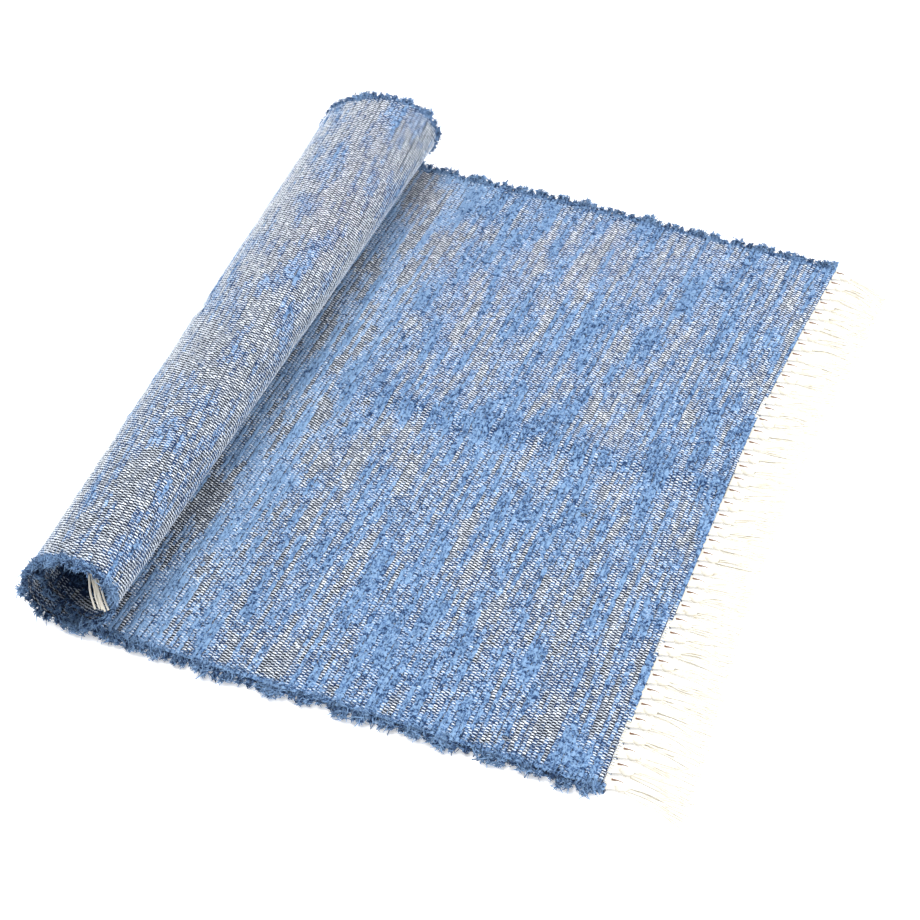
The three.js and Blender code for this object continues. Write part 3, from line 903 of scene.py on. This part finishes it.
def loop_paths(side):
    """Centre lines of the loops along one selvedge, as along, y and lift."""
    start = (np.arange(0, ALL_WEFTS - 1, LOOP_WEFTS) + 0.5) * WEFT_PITCH
    turn = np.linspace(0, math.pi, LOOP_STATIONS)
    lump = LOOP_NOTCH + (1 - LOOP_NOTCH) * tuft_depth(start, side) / TUFT_DEPTH
    rise = np.gradient(lump, start)
    lean = LOOP_LEAN * np.clip(rise * TUFT_PITCH, -1, 1)[:, None] * np.sin(turn)
    along = start[:, None] + WEFT_PITCH / 2 * LOOP_WEFTS * (1 - np.cos(turn)) / 2 + lean
    length = TUFT_DEPTH * between(LOOP_LENGTH, "along", start, ("near", "far")[side])
    depth = length * lump + random.normal(0, LOOP_STRAY["depth"], start.size) - LOOP_RADIUS
    out = (-1, 1)[side]
    y = selvedge(along, side) + out * ((LOOP_ROOT + depth)[:, None] * np.sin(turn) - LOOP_ROOT)
    swell = LOOP_LIFT["lump"] * lump + random.normal(0, LOOP_STRAY["lift"], start.size)
    lift = LOOP_LIFT["root"] + swell[:, None] * np.sin(turn)
    return along, y, lift * outside(along)


def outside(along):
    """1 where the upper face of the cloth shows, -1 on the roll, where the under face does."""
    crease = cloth.flat_length(0)
    return 1 - 2 * smoothstep(along, crease - CREASE_TURN, crease + CREASE_TURN)


def make_loops(paths):
    points = []
    for along, y, lift in paths:
        radius = LOOP_RADIUS * random.normal(1, LOOP_STRAY["radius"], along.shape)
        turns = np.arange(LOOP_SIDES) * 2 * math.pi / LOOP_SIDES
        wide = radius[..., None] * np.cos(turns)
        tall = radius[..., None] * np.sin(turns)
        ahead_along, ahead_y = np.gradient(along, axis=1), np.gradient(y, axis=1)
        length = np.hypot(ahead_along, ahead_y)
        ring_along = along[..., None] + wide * (ahead_y / length)[..., None]
        ring_y = y[..., None] - wide * (ahead_along / length)[..., None]
        points.append(cloth.point(np.clip(ring_along, 0, CLOTH_LENGTH), ring_y, lift[..., None] + tall))
    points = np.concatenate(points)
    points[..., 2] = np.maximum(points[..., 2], 0)
    faces = tube_faces(len(points), LOOP_STATIONS, LOOP_SIDES)
    piece = make_piece("selvedge_loops", points, faces, pile)
    # dark, as painted shade inside the tufts
    add_colour(piece, "tone_and_shade", np.full(points.size // 3, LOOP_PAINTED_SHADE))
    return piece


def make_fibres(paths):
    """Curly flat fibres that stand off the loops on all sides but mostly up and out."""
    points = []
    share = np.linspace(0, 1, FIBRE_STATIONS)[:, None]
    tones = []
    for side, (along, y, lift) in enumerate(paths):
        out = (-1, 1)[side]
        station = random.random((len(along), FIBRES_A_LOOP)) * (LOOP_STATIONS - cloth.LAST)
        low, part = station.astype(int), station % 1
        root = []
        for values in (along, y, lift):
            here, ahead = (np.take_along_axis(values, low + step, axis=1) for step in (0, 1))
            root.append((here * (1 - part) + ahead * part).ravel())
        root = np.stack(root, axis=-1)
        heading = random.normal(0, 1, root.shape)
        heading[:, 1] += FIBRE_OUTWARD * out
        heading[:, 2] += FIBRE_OUTWARD * outside(root[:, 0])
        heading /= np.linalg.norm(heading, axis=-1, keepdims=True)
        lump = tuft_depth(root[:, :1], side) / TUFT_DEPTH
        length = FIBRE_LENGTH * (FIBRE_IN_NOTCH + (1 - FIBRE_IN_NOTCH) * lump)
        length = length * random.uniform(*FIBRE_LENGTHS, (len(root), 1))
        # painted shade in the notches and at the roots, painted light at the tips, with a random spread
        tone_and_shade = FIBRE_TONE_AND_SHADE["lump"] * lump + FIBRE_TONE_AND_SHADE["least"]
        tone_and_shade = tone_and_shade + FIBRE_TONE_AND_SHADE["spread"] * random.random(lump.shape)
        tones.append(tone_and_shade + FIBRE_TONE_AND_SHADE["tip"] * share[:, 0])
        curl = random.normal(0, FIBRE_CURL, root.shape) * length
        straight = (heading * length)[:, None] * share
        path = root[:, None] + straight + curl[:, None] * np.sin(FIBRE_BENDS * math.pi * share)
        path[..., 0] = np.clip(path[..., 0], -FIBRE_PAST_END, CLOTH_LENGTH)
        points.append(cloth.point(path[..., 0], path[..., 1], path[..., 2]))
    centre = np.concatenate(points)
    centre[..., 2] = np.maximum(centre[..., 2], 2 * FIBRE_WIDTHS[0])
    side = np.cross(np.gradient(centre, axis=1), random.normal(0, 1, (len(centre), 1, 3)))
    side *= FIBRE_WIDTHS[:, None] / (np.linalg.norm(side, axis=-1, keepdims=True) + TINY)
    points = np.stack([centre - side, centre + side], axis=2)
    index = np.arange(len(centre) * FIBRE_STATIONS * 2).reshape(-1, FIBRE_STATIONS, 2)
    faces = strip_faces(index[:, :-1], index[:, 1:])
    piece = make_piece("selvedge_fibres", points, faces, pile)
    add_colour(piece, "tone_and_shade", np.repeat(np.concatenate(tones)[..., None], 2, axis=2))
    return piece


selvedge_paths = [loop_paths(0), loop_paths(1)]
edges = [make_loops(selvedge_paths), make_fibres(selvedge_paths)]


# Fringes


def knot_places(along):
    first = selvedge(along, 0) + KNOT_MARGIN
    last = selvedge(along, 1) - KNOT_MARGIN
    return first + (last - first) * np.arange(KNOTS) / (KNOTS - 1)


def woven_edge(y):
    return cloth.at(np.zeros_like(y), y)[..., 0]


def make_open_fringe():
    knot = np.arange(KNOTS)
    y = knot_places(0)
    edge = woven_edge(y)
    pitch = y[1] - y[0]

    share = np.linspace(0, 1, BAND_STATIONS)
    band_x = (edge - BAND_INSIDE)[:, None, None] + BAND_LENGTH * share
    pull = 1 - BAND_GATHER * smoothstep(share, 0, 1)
    band_y = y[:, None, None] + YARN_SPREAD[:, None] * pitch * pull
    band_z = BAND_TOP - BAND_DROP * smoothstep(share, 0, 1)
    band = np.stack(np.broadcast_arrays(band_x, band_y, band_z), axis=-1).reshape(-1, BAND_STATIONS, 3)
    band_points = tubes(band, np.full(band.shape[:2], YARN_RADIUS), YARN_SIDES)

    share = np.linspace(0, 1, TAIL_STATIONS)
    slant = between(FRINGE_LIE, "y", y, "slant") + WAVER * np.sin(WAVER_BEAT * knot)
    reach = between(FRINGE_LIE, "y", y, "reach")
    every = (KNOTS, YARNS)
    tip = reach[:, None] - KNOT_END - TAIL_UNEVEN * random.random(every)
    across = YARN_SPREAD * TAIL_SPREAD * KNOT_HALF_WIDTH
    bend = slant[:, None] + TAIL_FAN * FAN * across + random.normal(0, TAIL_STRAY["bend"], every)
    tail_x = (edge + KNOT_END - TAIL_IN_KNOT)[:, None, None] + tip[..., None] * share
    wave = random.normal(0, TAIL_STRAY["wave"], every)[..., None] * np.sin(share * math.pi * TAIL_WAVES)
    curve = (1 - TAIL_CURVE) * share + TAIL_CURVE * share * share
    sideways = (tip * np.tan(np.radians(bend)))[..., None] * curve
    tail_y = y[:, None, None] + across[:, None] + sideways + wave
    drop = (TAIL_LIFT["least"] + TAIL_LIFT["more"] * random.random(every))[..., None]
    tail_z = YARN_RADIUS + drop * (1 - smoothstep(share, TAIL_DOWN, 1))
    tail = np.stack([tail_x, tail_y, tail_z], axis=-1).reshape(-1, TAIL_STATIONS, 3)
    tail_points = tubes(tail, np.full(tail.shape[:2], YARN_RADIUS), YARN_SIDES)

    band_faces = tube_faces(len(band), BAND_STATIONS, YARN_SIDES)
    tail_faces = tube_faces(len(tail), TAIL_STATIONS, YARN_SIDES) + band_points.size // 3
    points = np.concatenate([band_points.reshape(-1, 3), tail_points.reshape(-1, 3)])
    piece = make_piece("fringe_open", points, np.concatenate([band_faces, tail_faces]), fringe)
    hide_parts("fringe_outer")
    return [piece, make_knots(edge, y), make_crease_shades(edge, y)]


def make_knots(edge, y):
    """Overhand knots: a lumpy ball with slanting grooves where the yarns wrap round it."""
    share = np.linspace(0, 1, KNOT_STATIONS)
    turn = np.arange(KNOT_SIDES) * 2 * math.pi / KNOT_SIDES
    swell = np.sin(np.pi * (KNOT_CUT + (1 - 2 * KNOT_CUT) * share)) ** KNOT_BLUNT
    size = 1 + KNOT_VARIETY * np.sin(KNOT_BEAT * np.arange(KNOTS))
    groove = np.cos(GROOVES * turn + GROOVE_TWIST * share[:, None])
    radius = swell[:, None] * (1 - GROOVE_DEPTH + GROOVE_DEPTH * groove)
    half = KNOT_HALF_WIDTH * size[:, None, None]
    top = KNOT_TOP / 2 * size[:, None, None]
    x = edge[:, None, None] + KNOT_START + (KNOT_END - KNOT_START) * share[:, None]
    points_y = y[:, None, None] + half * radius * np.cos(turn)
    points_z = np.maximum(top * (1 + radius * np.sin(turn)), KNOT_LOWEST)
    points = np.stack(np.broadcast_arrays(x, points_y, points_z), axis=-1)
    faces = tube_faces(KNOTS, KNOT_STATIONS, KNOT_SIDES)
    return make_piece("fringe_knots", points, faces, fringe)


def make_crease_shades(edge, y):
    """Short tubes like yarn ends on the far side of each knot, dark brown at the cloth: painted shade in
    the crease beside the knot.
    """
    share = np.linspace(0, 1, CREASE_STATIONS)
    x = edge[:, None] + CREASE_START + CREASE_LENGTH * share
    aside = CREASE_ASIDE[0] + CREASE_ASIDE[1] * np.sin(math.pi * share)
    points_y = y[:, None] + KNOT_HALF_WIDTH * aside
    points_z = KNOT_TOP * np.linspace(*CREASE_HEIGHTS, CREASE_STATIONS)
    paths = np.stack(np.broadcast_arrays(x, points_y, points_z), axis=-1)
    radii = np.broadcast_to(np.linspace(*CREASE_RADII, CREASE_STATIONS), x.shape)
    points = tubes(paths, radii, YARN_SIDES)
    faces = tube_faces(KNOTS, CREASE_STATIONS, YARN_SIDES)
    piece = make_piece("fringe_crease_shades", points, faces, fringe)
    # painted shade, darkest at the cloth and fading along the tube
    dark = np.broadcast_to((1 - share**CREASE_SHADE_FADE)[:, None], (KNOTS, CREASE_STATIONS, YARN_SIDES))
    add_colour(piece, "crease", dark)
    return piece


def hanging_path(y):
    """Centre line of one hidden yarn: along the cloth's end, through its knot and down."""
    path = list(cloth.point(CLOTH_LENGTH + HANG_STARTS, y, 0))
    heading = math.atan2(path[-1][2] - path[-2][2], path[-1][0] - path[-2][0])
    x, _, z = path[-1]
    for _ in range(INNER_STEPS + 1):
        heading -= min(DROOP * (heading + math.pi / 2), MOST_TURN)
        x += INNER_STEP * math.cos(heading)
        z += INNER_STEP * math.sin(heading)
        path.append(np.array([x, y, z]))
    return np.array(path)


def make_hidden_fringe():
    paths = []
    for y in knot_places(CLOTH_LENGTH)[1:]:
        centre = hanging_path(y)
        for offset in YARN_SPREAD:
            path = centre.copy()
            path[:, 1] += offset * HANG_WIDTH * HANG_GATHER
            loose = path[len(HANG_STARTS) - 1 :, 0]
            loose += np.cumsum(random.normal(0, HANG_STRAY, len(loose)))
            paths.append(path)
    for place in np.linspace(-0.5, 0.5, MOUTH_YARNS):
        path = np.array(MOUTH_TASSEL, float)
        path[:, 0] += place * np.linspace(*MOUTH_SPREAD, len(path))
        path[:, :2] += np.cumsum(random.normal(0, MOUTH_STRAY["aside"], (len(path), 2)), axis=0)
        path[-1, 2] += random.normal(0, MOUTH_STRAY["tip"])
        paths.append(path)
    paths = np.array(paths)
    radii = np.full(paths.shape[:2], YARN_RADIUS)
    radii[-MOUTH_YARNS:] = MOUTH_YARN
    points = tubes(paths, radii, YARN_SIDES)
    faces = tube_faces(len(paths), HANG_STATIONS, YARN_SIDES)
    piece = make_piece("fringe_hidden", points, faces, fringe)
    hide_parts("fringe_inner")
    return piece


fringes = [*make_open_fringe(), make_hidden_fringe()]
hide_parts("rug")


# Stage


def make_stage():
    mesh = bpy.data.meshes.new("floor")
    sides = [(-1, -1), (1, -1), (1, 1), (-1, 1)]
    corners = [(FLOOR_REACH * x, FLOOR_REACH * y, -FLOOR_DROP) for x, y in sides]
    mesh.from_pydata(corners, [], [(0, 1, 2, 3)])
    floor = bpy.data.objects.new("floor", mesh)
    bpy.context.scene.collection.objects.link(floor)
    material = bpy.data.materials.new("pale_floor")
    material.use_nodes = True
    shader = material.node_tree.nodes["Principled BSDF"]
    shader.inputs["Base Color"].default_value = FLOOR_WHITE
    shader.inputs["Roughness"].default_value = FLOOR_ROUGHNESS
    shader.inputs["Specular IOR Level"].default_value = 0.0
    shader.inputs["Emission Color"].default_value = (1, 1, 1, 1)
    shader.inputs["Emission Strength"].default_value = FLOOR_GLOW
    mesh.materials.append(material)


def make_light(name, place, size, energy):
    light = bpy.data.lights.new(name, "AREA")
    light.shape = "DISK"
    light.size = size
    light.energy = energy
    lamp = bpy.data.objects.new(name, light)
    lamp.location = place
    lamp.rotation_euler = (-Vector(place)).to_track_quat("-Z", "Y").to_euler()
    bpy.context.scene.collection.objects.link(lamp)


def make_camera():
    camera = bpy.data.cameras.new("camera")
    camera.sensor_fit = "HORIZONTAL"
    camera.sensor_width = SENSOR
    camera.lens = LENS
    viewer = bpy.data.objects.new("camera", camera)
    place = Vector(SHIFT + CAMERA_PLACE) / 1000
    target = Vector(SHIFT + CAMERA_TARGET) / 1000
    turn = (target - place).to_track_quat("-Z", "Y").to_matrix()
    turn = turn @ Matrix.Rotation(math.radians(CAMERA_ROLL), 3, "Z")
    viewer.matrix_world = Matrix.Translation(place) @ turn.to_4x4()
    bpy.context.scene.collection.objects.link(viewer)
    bpy.context.scene.camera = viewer


def make_world():
    world = bpy.data.worlds.new("studio")
    world.use_nodes = True
    background = world.node_tree.nodes["Background"]
    background.inputs["Color"].default_value = (1, 1, 1, 1)
    background.inputs["Strength"].default_value = WORLD_LIGHT
    bpy.context.scene.world = world
    bpy.context.scene.view_settings.view_transform = "Standard"


make_stage()
for light_name, light in LIGHTS.items():
    make_light(light_name, **light)
make_camera()
make_world()
